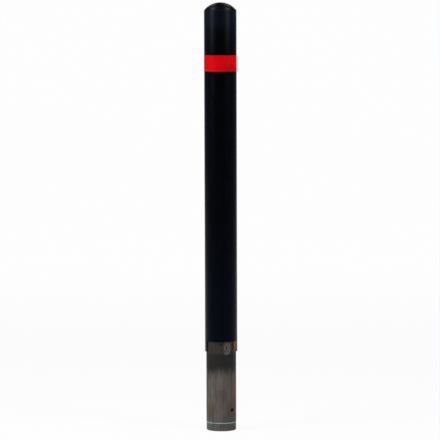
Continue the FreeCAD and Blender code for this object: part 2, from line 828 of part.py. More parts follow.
def make_lock_bolt():
    """The flat bolt, withdrawn, with the upright slot in which the drive pin runs."""
    angle = S["lock_angle"]
    lift = S["lock_height"]
    half_height = S["bolt_height"] / 2
    half_thickness = S["bolt_thickness"] / 2
    blank = block(
        "lock_bolt_blank",
        angle,
        lift,
        -S["bolt_tail"],
        BOLT_TIP,
        -half_thickness,
        half_thickness,
        -half_height,
        half_height,
    )
    clear = S["drive_pin_radius"] + S["yoke_play"]
    yoke = block(
        "bolt_yoke",
        angle,
        lift,
        -(PIN_SIDE + clear),
        clear - PIN_SIDE,
        -(half_thickness + 1),
        half_thickness + 1,
        PIN_RISE - clear,
        S["drive_pin_offset"] + clear,
    )
    node("lock_bolt", without("lock_bolt_cut", blank, [yoke]))


# ---------------------------------------------------------------------------------------------------------
# Sleeve: the black tube that slides, and what is fixed to it
# ---------------------------------------------------------------------------------------------------------


def make_sleeve_tube(screw_holes):
    """The sleeve tube, with the front notch in its lower end and the groove of the wear band."""
    blank = ring("sleeve_tube_blank", SLEEVE_BORE, S["sleeve_radius"], S["sleeve_bottom"], SHOULDER)
    notch = wedge(
        "front_notch",
        S["sleeve_radius"] + OVERSHOOT,
        S["sleeve_bottom"] - OVERSHOOT,
        NOTCH_TOP - S["sleeve_bottom"] + OVERSHOOT,
        -S["notch_half_angle"],
        S["notch_half_angle"] * 2,
    )
    groove_radius = SLEEVE_BORE + S["wear_band_inset"]
    groove = ring("wear_band_groove", MAST_RADIUS, groove_radius, WEAR_BAND_BOTTOM, WEAR_BAND_TOP)
    node("sleeve_tube", without("sleeve_tube_cut", blank, [notch, groove] + screw_holes))


def make_wear_band():
    """The band of slippery plastic in the sleeve's groove, which runs on the mast."""
    bottom = WEAR_BAND_BOTTOM + S["seat_fit"]
    top = WEAR_BAND_TOP - S["seat_fit"]
    outer = SLEEVE_BORE + S["wear_band_inset"] - S["seat_fit"]
    node("wear_band", ring("wear_band_body", MAST_RADIUS + S["running_fit"], outer, bottom, top))


def make_guide_pad():
    """The bronze pad brazed into the right corner of the notch."""
    bottom = NOTCH_TOP - S["pad_drop"]
    start = S["notch_half_angle"] - S["pad_angle"]
    slice_ = wedge("guide_pad_slice", S["sleeve_radius"], bottom, S["pad_drop"], start, S["pad_angle"])
    core = upright_rod("guide_pad_core", MAST_RADIUS + S["pad_gap"], bottom - 1, NOTCH_TOP + 1)
    node("notch_guide_pad", without("guide_pad_cut", slice_, [core]))


def make_guide_key(screw_holes):
    """The key inside the sleeve that runs in the mast's slot and rests on the thrown bolt."""
    half_width = S["key_width"] / 2
    half_height = S["key_height"] / 2
    blank = block(
        "guide_key_block",
        KEY_ANGLE,
        KEY_MIDDLE,
        -half_width,
        half_width,
        -S["sleeve_radius"],
        -S["key_inner"],
        -half_height,
        half_height,
    )
    bore = upright_rod("guide_key_round", IN_SLEEVE, KEY_MIDDLE - half_height, KEY_MIDDLE + half_height)
    node("guide_key", without("guide_key_cut", shared("guide_key_blank", blank, bore), screw_holes))


def make_reflective_band():
    """The strip of reflective tape round the sleeve, its ends a little apart at the rear."""
    bottom = SHOULDER - S["band_drop"] - S["band_width"]
    glued = S["sleeve_radius"] + S["band_glue"]
    radius = glued + S["band_thickness"]
    start = as_size(180) + S["band_seam"] / 2
    strip = wedge("band_strip", radius, bottom, S["band_width"], start, as_size(360) - S["band_seam"])
    core = upright_rod("band_core", glued, bottom - 1, bottom + S["band_width"] + 1)
    node("reflective_band", without("reflective_band_cut", strip, [core]))


def make_dome_cap(screw_holes):
    """The domed cap with a skirt that plugs into the sleeve, and the sealing ring round the skirt."""
    radius = S["sleeve_radius"]
    rise = S["dome_height"]
    sphere_radius = (radius * radius + rise * rise) / (rise * 2)
    centre = SHOULDER + rise - sphere_radius
    outer = put(bound("Part::Sphere", "dome_outside", Radius=sphere_radius), lift=centre)
    inner = put(bound("Part::Sphere", "dome_inside", Radius=sphere_radius - S["cap_wall"]), lift=centre)
    above = upright_rod("dome_above", radius + OVERSHOOT, SHOULDER, SHOULDER + rise + OVERSHOOT)
    dome = without("dome_shell", shared("dome_solid", outer, above), [inner])
    skirt_inner = IN_SLEEVE - S["cap_skirt_wall"]
    skirt_top = SHOULDER + S["cap_wall"] / 2
    skirt = ring("cap_skirt", skirt_inner, IN_SLEEVE, SHOULDER - S["cap_skirt_depth"], skirt_top)
    section = S["cap_ring_section"]
    ring_height = SHOULDER - S["cap_ring_drop"]
    ring_radius = IN_SLEEVE - section
    groove_half = section + S["ring_groove_play"]
    groove = ring(
        "cap_ring_groove",
        ring_radius - section - S["seat_fit"],
        IN_SLEEVE + 1,
        ring_height - groove_half,
        ring_height + groove_half,
    )
    node("dome_cap", without("dome_cap_cut", fused("dome_cap_blank", [dome, skirt]), [groove] + screw_holes))
    seal = bound("Part::Torus", "cap_sealing_ring_body", Radius1=ring_radius, Radius2=section)
    node("cap_sealing_ring", put(seal, lift=ring_height))


def make_crosshead(screw_holes):
    """The plate across the sleeve that the gas spring pushes, with its rubber buffer and nuts."""
    inner = ROD_RADIUS + S["seat_fit"]
    blank = ring("crosshead_blank", inner, IN_SLEEVE, CROSSHEAD_BOTTOM, CROSSHEAD_TOP)
    holes = web_holes("crosshead_web", CROSSHEAD_BOTTOM, CROSSHEAD_TOP)
    node("crosshead", without("crosshead_drilled", blank, holes + screw_holes))
    buffer_outer = IN_MAST
    buffer_inner = buffer_outer - S["buffer_wall"]
    node("buffer_ring", ring("buffer_ring_body", buffer_inner, buffer_outer, BUFFER_BOTTOM, CROSSHEAD_BOTTOM))
    lower = nut("rod_nut_lower", CROSSHEAD_BOTTOM - S["nut_height"])
    upper = nut("rod_nut_upper", CROSSHEAD_TOP)
    node("rod_nuts", grouped("rod_nut_pair", [lower, upper]))


def make_spring_rod():
    """The rod of the gas spring, its piston and the piston's sealing ring."""
    rod = upright_rod("gas_spring_rod_body", ROD_RADIUS, PISTON_BOTTOM, ROD_TOP)
    node("gas_spring_rod", rod)
    outer = SPRING_BORE - S["running_fit"]
    groove_depth = outer - S["piston_groove_depth"]
    groove_bottom = PISTON_BOTTOM + (S["piston_height"] - S["piston_groove"]) / 2
    groove_top = groove_bottom + S["piston_groove"]
    node(
        "gas_spring_piston",
        turned(
            "gas_spring_piston_body",
            [
                (ROD_RADIUS + S["seat_fit"], PISTON_BOTTOM),
                (outer, PISTON_BOTTOM),
                (outer, groove_bottom),
                (groove_depth, groove_bottom),
                (groove_depth, groove_top),
                (outer, groove_top),
                (outer, PISTON_BOTTOM + S["piston_height"]),
                (ROD_RADIUS + S["seat_fit"], PISTON_BOTTOM + S["piston_height"]),
            ],
        ),
    )
    fit = S["seat_fit"]
    inner = groove_depth + fit
    outer = SPRING_BORE - fit
    node("piston_ring", ring("piston_ring_body", inner, outer, groove_bottom + fit, groove_top - fit))


# ---------------------------------------------------------------------------------------------------------
# Assembly
# ---------------------------------------------------------------------------------------------------------


def make_mast():
    """Every piece that stays put."""
    lock = S["lock_height"]
    angle = S["lock_angle"]
    foot_holes = screw_set(
        "foot_screws", LONG_SCREW, rear_places(TUBE_BOTTOM + S["foot_screw_rise"]), MAST_RADIUS
    )
    seat_holes = screw_set(
        "spring_seat_screws", LONG_SCREW, rear_places(S["seat_height"] + S["seat_thickness"] / 2), MAST_RADIUS
    )
    bush_holes = screw_set(
        "slide_bush_screws", SHORT_SCREW, rear_places(S["mast_top"] - S["bush_screw_drop"]), MAST_RADIUS
    )
    housing_holes = screw_set(
        "lock_housing_screws",
        HOUSING_SCREW,
        [
            (angle - S["housing_screw_turn"], lock + S["housing_screw_rise"]),
            (angle + S["housing_screw_turn"], lock - S["housing_screw_rise"]),
        ],
        MAST_RADIUS,
    )
    plate_holes = screw_set(
        "lock_plate_screws",
        PLATE_SCREW,
        [(angle, lock + S["plate_screw_rise"]), (angle, lock - S["plate_screw_rise"])],
        MAST_RADIUS,
    )
    make_foot(foot_holes)
    make_ground_tube(foot_holes + seat_holes + bush_holes + housing_holes)
    make_slide_bush(bush_holes)
    make_spring_seat(seat_holes)
    make_spring_cylinder()
    guide_holes = make_bolt_guide()
    make_lock_plate(plate_holes)
    make_lock_housing(housing_holes + plate_holes + guide_holes)


def make_sleeve():
    """Every piece that slides up and down."""
    cap_holes = screw_set(
        "cap_screws", SHORT_SCREW, rear_places(SHOULDER - S["cap_screw_drop"]), S["sleeve_radius"]
    )
    crosshead_holes = screw_set(
        "crosshead_screws",
        LONG_SCREW,
        rear_places(CROSSHEAD_BOTTOM + S["crosshead_height"] / 2),
        S["sleeve_radius"],
    )
    key_holes = screw_set(
        "guide_key_screws",
        KEY_SCREW,
        [(KEY_ANGLE, KEY_MIDDLE + S["key_screw_rise"]), (KEY_ANGLE, KEY_MIDDLE - S["key_screw_rise"])],
        S["sleeve_radius"],
    )
    make_sleeve_tube(cap_holes + crosshead_holes + key_holes)
    make_dome_cap(cap_holes)
    make_crosshead(crosshead_holes)
    make_guide_key(key_holes)
    make_spring_rod()
    make_wear_band()
    make_guide_pad()
    make_reflective_band()


def write_nodes():
    """Check every object of the document, then write each sub-part to its own file."""
    faults = []
    for thing in doc.Objects:
        if "Invalid" in thing.State or "Error" in thing.State:
            faults.append(f"{thing.Name} failed: {thing.State}")
    for label, made in NODES.items():
        if made.Shape.isNull() or not made.Shape.isValid() or not made.Shape.Solids:
            faults.append(f"{label} has no valid solid")
    if faults:
        sys.exit("\n".join(faults))
    os.makedirs("parts", exist_ok=True)
    for label, made in NODES.items():
        made.Shape.exportStep(os.path.join("parts", label + ".step"))
        print(f"{label}: {len(made.Shape.Solids)} solid(s), {made.Shape.Volume / 1000:.2f} cm3")


make_mast()
make_lock_barrel()
make_lock_cam()
make_lock_bolt()
make_sleeve()
doc.recompute()
write_nodes()
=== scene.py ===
"""Looks of the retractable bollard: finishes for every piece of the frame, a soft studio and a camera."""

import logging
import math
from dataclasses import dataclass, field, replace
from enum import Enum

import bpy
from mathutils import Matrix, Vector


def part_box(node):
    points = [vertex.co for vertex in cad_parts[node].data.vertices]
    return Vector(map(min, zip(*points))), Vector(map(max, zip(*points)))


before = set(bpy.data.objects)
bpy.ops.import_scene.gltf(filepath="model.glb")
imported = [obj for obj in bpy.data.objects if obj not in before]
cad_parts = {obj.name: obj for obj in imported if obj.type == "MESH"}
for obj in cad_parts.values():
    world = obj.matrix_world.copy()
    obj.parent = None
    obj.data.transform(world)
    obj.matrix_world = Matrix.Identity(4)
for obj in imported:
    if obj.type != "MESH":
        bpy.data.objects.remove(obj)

LOG = logging.getLogger("bollard")
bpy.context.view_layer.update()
MM = 0.001

# Blender's noise keeps to its mean with about this much to either side, and its patches lie this far apart
NOISE_MEAN = 0.5
NOISE_SPREAD = 0.2
PATCH_STEPS = (7.3, 3.1, 11.7)

Tree = bpy.types.NodeTree
Socket = bpy.types.NodeSocket


# ---------------------------------------------------------------------------------------------------------
# Colours and nodes
# ---------------------------------------------------------------------------------------------------------


def linear(colour: str) -> tuple[float, float, float, float]:
    """Turn an sRGB hex colour into linear light, by the curve of the sRGB standard.

    Args:
        colour: a colour such as "#1c2029".

    Returns:
        Red, green and blue in linear light, and an alpha of 1.
    """
    parts = [int(colour[place : place + 2], 16) / 255.0 for place in (1, 3, 5)]
    lit = [part / 12.92 if part <= 0.04045 else ((part + 0.055) / 1.055) ** 2.4 for part in parts]
    return lit[0], lit[1], lit[2], 1.0


def add(
    tree: Tree,
    kind: str,
    inputs: dict[str | int, object] | None = None,
    output: int | str = 0,
    **settings: object,
) -> Socket | None:
    """Add a node with its settings, values and links.

    Args:
        tree: the node tree that gets the node.
        kind: the node's type name.
        inputs: a value or a feeding socket for each input, by name or number.
        output: name or number of the output that is wanted.
        **settings: properties of the node itself.

    Returns:
        The wanted output of the new node, or None for a node that has no outputs.
    """
    node = tree.nodes.new(kind)
    for name, value in settings.items():
        setattr(node, name, value)
    for key, value in (inputs or {}).items():
        if isinstance(value, Socket):
            tree.links.new(value, node.inputs[key])
        else:
            node.inputs[key].default_value = value
    return node.outputs[output] if node.outputs else None


# ---------------------------------------------------------------------------------------------------------
# Patterns, all in the post's own coordinates and in real millimetres
# ---------------------------------------------------------------------------------------------------------


class Axis(Enum):
    """An axis of the post: X to its right, Y to its back, Z up."""

    X = "X"
    Y = "Y"
    Z = "Z"


@dataclass(frozen=True)
class Grain:
    """A cloudy natural pattern, round or drawn out along the post.

    Attributes:
        across_mm: size of one patch round the post.
        along_mm: size of one patch along the post.
        detail: how many finer octaves it has.
        rough: how strong those are.
        patch: which patch of the endless pattern is used.
    """

    across_mm: float
    along_mm: float
    detail: float = 3.0
    rough: float = 0.55
    patch: float = 0.0

    def socket(self, tree: Tree) -> Socket:
        """Add the pattern: about 0.3 to 0.7, and 0.5 on average."""
        place = add(tree, "ShaderNodeTexCoord", output="Object")
        across = 1.0 / (self.across_mm * MM)
        scale = (across, across, 1.0 / (self.along_mm * MM))
        shift = tuple(self.patch * step for step in PATCH_STEPS)
        stretched = add(tree, "ShaderNodeMapping", {"Vector": place, "Location": shift, "Scale": scale})
        inputs = {"Vector": stretched, "Scale": 1.0, "Detail": self.detail, "Roughness": self.rough}
        return add(tree, "ShaderNodeTexNoise", inputs)


@dataclass(frozen=True)
class Honeycomb:
    """The walls between the sealed cells of a film.

    Attributes:
        cell_mm: width of one cell.
        wall: half the width of a wall as a share of a cell.
        stray: how far the cells stray from an even grid, 0 to 1.
    """

    cell_mm: float
    wall: float = 0.09
    stray: float = 0.15

    def socket(self, tree: Tree) -> Socket:
        """Add the pattern: 1 on a wall, 0 inside a cell."""
        place = add(tree, "ShaderNodeTexCoord", output="Object")
        inputs = {"Vector": place, "Scale": 1.0 / (self.cell_mm * MM), "Randomness": self.stray}
        edge = add(tree, "ShaderNodeTexVoronoi", inputs, "Distance", feature="DISTANCE_TO_EDGE")
        inputs = {"Value": edge, "From Min": 0.0, "From Max": self.wall, "To Min": 1.0, "To Max": 0.0}
        return add(tree, "ShaderNodeMapRange", inputs)


@dataclass(frozen=True)
class Fade:
    """A soft step between two places along an axis.

    Attributes:
        axis: the axis that it runs along.
        empty_mm: place where it is still 0.
        full_mm: place from which it is 1.
        ragged_mm: how far the step wanders to either side.
        ragged: pattern that makes it wander.
    """

    axis: Axis
    empty_mm: float
    full_mm: float
    ragged_mm: float = 0.0
    ragged: Grain = Grain(16.0, 30.0)

    def socket(self, tree: Tree) -> Socket:
        """Add the pattern: 0 on its empty side, 1 on its full side."""
        place = add(tree, "ShaderNodeTexCoord", output="Object")
        along = add(tree, "ShaderNodeSeparateXYZ", {0: place}, self.axis.value)
        if self.ragged_mm:
            reach = self.ragged_mm * MM / NOISE_SPREAD
            inputs = {0: self.ragged.socket(tree), 1: -reach, 2: reach * NOISE_MEAN}
            wander = add(tree, "ShaderNodeMath", inputs, operation="MULTIPLY_ADD")
            along = add(tree, "ShaderNodeMath", {0: along, 1: wander}, operation="ADD")
        inputs = {"Value": along, "From Min": self.empty_mm * MM, "From Max": self.full_mm * MM}
        return add(tree, "ShaderNodeMapRange", inputs, interpolation_type="SMOOTHSTEP")


@dataclass(frozen=True)
class WornEdge:
    """The outer edges of a piece, where handling and sliding wear it.

    Attributes:
        width_mm: width of the worn strip.
        start: likeness of the rounded and the true normal at which the wear starts.
        full: likeness at which it is full.
        samples: rays that feel for an edge.
    """

    width_mm: float
    start: float = 0.985
    full: float = 0.8
    samples: int = 4

    def socket(self, tree: Tree) -> Socket:
        """Add the pattern: 1 on a sharp edge, 0 on flat and gently curved faces."""
        rounded = add(tree, "ShaderNodeBevel", {"Radius": self.width_mm * MM}, samples=self.samples)
        true = add(tree, "ShaderNodeNewGeometry", output="Normal")
        alike = add(tree, "ShaderNodeVectorMath", {0: rounded, 1: true}, "Value", operation="DOT_PRODUCT")
        inputs = {"Value": alike, "From Min": self.start, "From Max": self.full}
        return add(tree, "ShaderNodeMapRange", inputs)


@dataclass(frozen=True)
class Layer:
    """A colour that lies over a finish wherever a pattern is strong.

    Attributes:
        colour: the colour that it brings.
        pattern: the pattern that places it.
        low: value of the pattern at which it starts.
        high: value of the pattern at which it is full.
        amount: how much of it covers where it is full.
        within: soft limits to where it lies.
    """

    colour: str
    pattern: Grain | Honeycomb | Fade | WornEdge
    low: float = 0.0
    high: float = 1.0
    amount: float = 1.0
    within: tuple[Fade, ...] = ()

    def over(self, tree: Tree, under: Socket | tuple) -> Socket:
        """Lay the colour over what is under it.

        Args:
            tree: the node tree.
            under: colour or socket that it lies over.

        Returns:
            The socket of the covered colour.
        """
        inputs = {"Value": self.pattern.socket(tree), "From Min": self.low, "From Max": self.high}
        inputs["To Max"] = self.amount
        mask = add(tree, "ShaderNodeMapRange", inputs, interpolation_type="SMOOTHSTEP")
        for limit in self.within:
            mask = add(tree, "ShaderNodeMath", {0: mask, 1: limit.socket(tree)}, operation="MULTIPLY")
        inputs = {0: mask, 6: under, 7: linear(self.colour)}
        return add(tree, "ShaderNodeMix", inputs, 2, data_type="RGBA")


# ---------------------------------------------------------------------------------------------------------
# Finishes
# ---------------------------------------------------------------------------------------------------------


@dataclass(frozen=True)
class Finish:
    """What a surface is made of and how it was made.

    Attributes:
        name: common name of the finish.
        colour: main colour.
        layers: what lies over that colour, from the lowest up.
        metallic: 1 for bare metal, 0 for paint, plastic and rubber.
        roughness: mean roughness.
        uneven: how far the roughness strays either way.
        gloss: pattern of the roughness.
        grit: pattern of the surface's texture.
        grit_mm: height of that texture.
        specular: specular level of the shader.
        tint: colour of the specular light.
        coat: weight of a clear coat.
        coat_roughness: roughness of that coat.
        coated: where that coat has its full weight, or None for the whole piece.
        sheen: weight of a sheen.
    """

    name: str
    colour: str
    layers: tuple[Layer, ...]
    metallic: float
    roughness: float
    uneven: float = 0.08
    gloss: Grain = Grain(14.0, 30.0, patch=0.4)
    grit: Grain = Grain(1.5, 1.5, detail=2.0)
    grit_mm: float = 0.02
    specular: float = 0.5
    tint: str = "#ffffff"
    coat: float = 0.0
    coat_roughness: float = 0.03
    coated: Fade | None = None
    sheen: float = 0.0

    def material(self) -> bpy.types.Material:
        """Build the finish as a node material."""
        made = bpy.data.materials.new(self.name)
        made.use_nodes = True
        tree = made.node_tree
        shader = tree.nodes["Principled BSDF"]
        shader.inputs["Metallic"].default_value = self.metallic
        shader.inputs["Specular IOR Level"].default_value = self.specular
        shader.inputs["Specular Tint"].default_value = linear(self.tint)
        shader.inputs["Coat Weight"].default_value = self.coat
        shader.inputs["Sheen Weight"].default_value = self.sheen
        shader.inputs["Coat Roughness"].default_value = self.coat_roughness
        if self.coated is not None:
            inputs = {"Value": self.coated.socket(tree), "To Min": 0.0, "To Max": self.coat}
            tree.links.new(add(tree, "ShaderNodeMapRange", inputs), shader.inputs["Coat Weight"])
        colour = linear(self.colour)
        for layer in self.layers:
            colour = layer.over(tree, colour)
        tree.links.new(colour, shader.inputs["Base Color"])
        inputs = {
            "Value": self.gloss.socket(tree),
            "From Min": NOISE_MEAN - NOISE_SPREAD,
            "From Max": NOISE_MEAN + NOISE_SPREAD,
            "To Min": self.roughness - self.uneven,
            "To Max": self.roughness + self.uneven,
        }
        tree.links.new(add(tree, "ShaderNodeMapRange", inputs), shader.inputs["Roughness"])
        inputs = {"Height": self.grit.socket(tree), "Strength": 1.0, "Distance": self.grit_mm * MM}
        tree.links.new(add(tree, "ShaderNodeBump", inputs), shader.inputs["Normal"])
        return made


# Heights on the post, in millimetres
BAND_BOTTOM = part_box("reflective_band")[0].z / MM
NOTCH_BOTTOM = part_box("sleeve_tube")[0].z / MM

# Black polyester powder coat, sprayed and baked: a satin black with a faint orange peel that turns a bluer,
# slightly lighter black toward the ground, with long rubs where hands and straps slide along it. Its skin is
# still glossy at the head and has worn dull below the band. The head's colour also carries a painted
# reflection: a lighter bluish black that stands in for the pale room that the glossy head mirrors
POWDER_COAT = Finish(
    name="black_polyester_powder_coat",
    colour="#020202",
    layers=(
        Layer("#030304", Grain(70.0, 160.0), 0.4, 0.65),
        # Painted reflection: a lighter bluish black over the head, in place of the room light that it
        # mirrors
        Layer("#0a0e18", Fade(Axis.Z, 1225.0, 1316.0), amount=0.7, within=(
            Fade(Axis.Z, 1342.0, 1320.0),)),
        Layer("#04060d", Fade(Axis.Z, 900.0, 300.0), amount=0.9),
        Layer("#0a0e13", Grain(4.0, 300.0, detail=4.0, patch=0.2), 0.58, 0.72, 0.25),
        Layer("#171c22", Grain(9.0, 60.0, detail=5.0, patch=0.7), 0.6, 0.75, 0.3, within=(
            Fade(Axis.Z, 520.0, 260.0),)),
        Layer("#3a3e46", Fade(Axis.Z, NOTCH_BOTTOM + 34.0, NOTCH_BOTTOM + 12.0, 3.0), amount=0.25),
        Layer("#262b32", WornEdge(0.8), amount=0.5),
    ),
    metallic=0.0,
    roughness=0.33,
    uneven=0.05,
    grit=Grain(2.4, 2.4, detail=1.0),
    grit_mm=0.01,
    specular=0.071,
    tint="#b3cff2",
    coat=0.15,
    coat_roughness=0.33,
    coated=Fade(Axis.Z, 1175.0, 1315.0),
)
# Red retroreflective film: a smooth saturated face over a honeycomb of sealed cells, a little deeper low
# down, with a painted highlight along its lower edge that is strongest on the left. The real cells are 3 mm
# wide and are drawn 4 mm wide, so that they just show
RED_FILM = Finish(
    name="red_retroreflective_film",
    colour="#dd0209",
    layers=(
        Layer("#c40212", Grain(30.0, 14.0), 0.4, 0.62, 0.8),
        Layer("#b30310", Honeycomb(4.0), amount=0.35),
        Layer("#b90208", Fade(Axis.Z, BAND_BOTTOM + 17.0, BAND_BOTTOM + 8.0, 1.5), amount=0.5),
        # Painted highlight: a bright red line along the film's lower edge, fading out toward the right
        Layer("#f2090b", Fade(Axis.Z, BAND_BOTTOM + 7.0, BAND_BOTTOM + 4.0, 0.6), amount=0.8, within=(
            Fade(Axis.X, 20.0, -20.0),)),
    ),
    metallic=0.0,
    roughness=0.5,
    uneven=0.06,
    grit=Grain(4.0, 4.0, detail=0.0),
    grit_mm=0.01,
    specular=0.04,
)
# Bare drawn steel tube that stands in a wet socket: dull warm grey with drawing marks along it, dirtier low
# down, painted shade that darkens its right half, a dark band just under the raised sleeve, rust that creeps
# in from the right edge, a few tinted stains, and a painted reflection of the floor as a pale bluish line
# where its foot meets the floor
MAST_STEEL = Finish(
    name="bare_drawn_steel",
    colour="#69625b",
    layers=(
        Layer("#554e48", Grain(26.0, 70.0, detail=4.0), 0.4, 0.62),
        Layer("#86807a", Grain(3.4, 190.0, detail=5.0, rough=0.6, patch=0.1), 0.52, 0.68, 0.65),
        Layer("#3c3835", Grain(2.6, 150.0, detail=5.0, rough=0.6, patch=0.3), 0.54, 0.66, 0.8),
        Layer("#7b5733", Grain(6.0, 55.0, detail=5.0, patch=0.5), 0.53, 0.7, 0.5, within=(
            Fade(Axis.X, -6.0, -38.0),)),
        Layer("#5d6450", Grain(9.0, 16.0, detail=4.0, patch=0.8), 0.52, 0.66, 0.4, within=(
            Fade(Axis.Z, 60.0, 20.0),)),
        # Painted shade: the right half of the tube darker, as the light falls from the left
        Layer("#4c4641", Fade(Axis.X, -8.0, 30.0), amount=0.55),
        Layer("#2e2b28", Grain(3.0, 260.0, detail=3.0, patch=0.9), 0.5, 0.6, 0.7, within=(
            Fade(Axis.X, 27.0, 33.0),)),
        Layer("#7a4a2a", Grain(8.0, 34.0, detail=6.0, rough=0.65, patch=0.6), 0.42, 0.58, 0.85, within=(
            Fade(Axis.X, 34.0, 45.0), Fade(Axis.Z, 195.0, 150.0))),
        Layer("#463e31", Fade(Axis.Z, 118.0, 55.0), amount=0.22),
        Layer("#141414", Fade(Axis.Z, 158.0, 214.0, 7.0, Grain(7.0, 60.0)), amount=0.92),
        Layer("#2c2926", Grain(4.0, 40.0, detail=4.0, patch=0.8), 0.5, 0.66, 0.5, within=(
            Fade(Axis.Z, 190.0, 215.0), Fade(Axis.Z, 246.0, 232.0))),
        Layer("#3b3630", Fade(Axis.Z, 240.0, 250.0, 2.5), amount=0.93),
        Layer("#332f2b", Grain(5.0, 26.0, detail=4.0, patch=0.45), 0.5, 0.64, 0.6, within=(
            Fade(Axis.Z, 244.0, 250.0),)),
        # Painted reflection: a pale bluish line along the foot's bottom edge, where it meets the floor
        Layer("#9ebbc8", Fade(Axis.Z, 2.0, 0.4), amount=0.4),
    ),
    metallic=0.45,
    roughness=0.58,
    uneven=0.08,
    gloss=Grain(3.2, 170.0, detail=4.0, patch=0.15),
    grit=Grain(1.2, 40.0, detail=3.0),
    grit_mm=0.04,
    specular=0.3,
)
# Ground steel plate of the lock: a shade darker than the tube, darker still at its left, and lighter at its
# right and lower rim
LOCK_PLATE_STEEL = Finish(
    name="ground_steel_plate",
    colour="#504c47",
    layers=(
        Layer("#433f3b", Grain(8.0, 14.0), 0.4, 0.6),
        Layer("#37342f", Fade(Axis.X, 14.0, 6.0), amount=0.75),
        Layer("#68635c", Fade(Axis.X, 23.0, 27.5), amount=0.8),
        Layer("#67615b", Fade(Axis.Z, 252.0, 245.0), amount=0.6),
        Layer("#7d7872", WornEdge(0.7), amount=0.6, within=(
            Fade(Axis.X, 8.0, 20.0),)),
    ),
    metallic=0.5,
    roughness=0.5,
    grit=Grain(0.8, 9.0, detail=3.0),
    grit_mm=0.03,
)
# Nickelled brass barrel: dull nickel with warm brass where keys have worn it
NICKEL_BRASS = Finish(
    name="worn_nickelled_brass",
    colour="#5f5a52",
    layers=(
        Layer("#6e6048", Grain(3.0, 3.0), 0.5, 0.62, 0.5),
        Layer("#38342e", Grain(1.6, 1.6, detail=4.0, patch=0.3), 0.56, 0.7, 0.6),
        Layer("#8a7a58", WornEdge(0.4), amount=0.55),
    ),
    metallic=0.8,
    roughness=0.42,
    grit=Grain(0.7, 0.7),
    grit_mm=0.01,
)
# Cast bronze guide pad, tarnished orange-brown, dark in its pores and brighter where the mast rubs it
BRONZE = Finish(
    name="tarnished_cast_bronze",
    colour="#824c26",
    layers=(
        Layer("#4a301c", Grain(4.0, 9.0, detail=4.0), 0.46, 0.62, 0.85),
        Layer("#b06a26", Grain(3.0, 6.0, detail=4.0, patch=0.6), 0.54, 0.66, 0.75),
        Layer("#b07a45", WornEdge(0.6), amount=0.5),
    ),
    metallic=0.35,
    roughness=0.55,
    uneven=0.12,
    grit=Grain(1.0, 2.5),
    grit_mm=0.05,
)
# Yellowed zinc plate on turned and pressed parts: pale metal with a faint straw bloom and dull white bloom
ZINC = Finish(
    name="yellowed_zinc_plate",
    colour="#a5a39a",
    layers=(
        Layer("#8f8b74", Grain(9.0, 9.0), 0.45, 0.65, 0.8),
        Layer("#c2c3c0", Grain(3.0, 3.0, detail=5.0, patch=0.4), 0.58, 0.7, 0.5),
        Layer("#5f5d58", WornEdge(0.5), amount=0.5),
    ),
    metallic=0.85,
    roughness=0.4,
    grit=Grain(0.9, 0.9),
    grit_mm=0.015,
)
# Black oxide on steel screws: oily near-black that has gone brown at the edges
BLACK_OXIDE = Finish(
    name="black_oxide_steel",
    colour="#0e0e0d",
    layers=(
        Layer("#1f1913", Grain(2.5, 2.5), 0.45, 0.65),
        Layer("#3b2d22", WornEdge(0.3), amount=0.6),
    ),
    metallic=0.5,
    roughness=0.5,
    grit=Grain(0.6, 0.6),
    grit_mm=0.01,
    specular=0.3,
)
# Pale blue cast nylon ring: waxy, stained where water runs over it, and greyer toward its right side
PALE_NYLON = Finish(
    name="pale_blue_cast_nylon",
    colour="#7fa0b4",
    layers=(
        Layer("#94b4c6", Grain(12.0, 4.0), 0.45, 0.62, 0.8),
        Layer("#6c7a80", Grain(5.0, 5.0, detail=5.0, patch=0.5), 0.55, 0.7, 0.8),
        Layer("#7e8484", Fade(Axis.X, 22.0, 40.0), amount=0.5),
    ),
    metallic=0.0,
    roughness=0.45,
    grit=Grain(1.0, 0.6),
    grit_mm=0.02,
)
# Natural cast nylon, turned: ivory and waxy, with fine turning marks round it and grey rubbed edges
NATURAL_NYLON = Finish(
    name="natural_cast_nylon",
    colour="#d9d3c0",
    layers=(
        Layer("#c4bca4", Grain(16.0, 8.0), 0.42, 0.62, 0.9),
        Layer("#8b8577", Grain(6.0, 3.0, detail=5.0, patch=0.3), 0.6, 0.72, 0.5),
        Layer("#9a9484", WornEdge(0.8), amount=0.5),
    ),
    metallic=0.0,
    roughness=0.4,
    grit=Grain(9.0, 0.6),
    grit_mm=0.03,
)
# Moulded nitrile rubber: soft black with a dusty bloom
RUBBER = Finish(
    name="moulded_nitrile_rubber",
    colour="#0d0d0e",
    layers=(
        Layer("#1d1d1e", Grain(6.0, 6.0), 0.45, 0.65, 0.8),
        Layer("#2e2d2c", WornEdge(0.5), amount=0.4),
    ),
    metallic=0.0,
    roughness=0.72,
    grit=Grain(0.8, 0.8),
    grit_mm=0.03,
    specular=0.3,
)
# Gloss black lacquer of a gas spring's cylinder, with thin scratches along it
LACQUER = Finish(
    name="gloss_cylinder_lacquer",
    colour="#0b0b0d",
    layers=(
        Layer("#151518", Grain(30.0, 60.0), 0.42, 0.62),
        Layer("#2c2c30", Grain(0.8, 70.0, detail=2.0, patch=0.3), 0.64, 0.72, 0.6),
        Layer("#4c4c50", WornEdge(0.5), amount=0.5),
    ),
    metallic=0.0,
    roughness=0.22,
    uneven=0.04,
    grit=Grain(2.0, 2.0),
    grit_mm=0.008,
    coat=0.4,
)
# Hard chrome on a ground rod: bright, with the grinder's marks round it and a film of oil
HARD_CHROME = Finish(
    name="ground_hard_chrome",
    colour="#cfd1d4",
    layers=(
        Layer("#b4b8bd", Grain(6.0, 0.8, detail=2.0), 0.42, 0.62, 0.8),
        Layer("#a39f8e", Grain(9.0, 40.0, patch=0.6), 0.55, 0.7, 0.4),
    ),
    metallic=1.0,
    roughness=0.14,
    uneven=0.03,
    grit=Grain(3.0, 0.4),
    grit_mm=0.004,
)


# ---------------------------------------------------------------------------------------------------------
# Sub-assemblies
# ---------------------------------------------------------------------------------------------------------


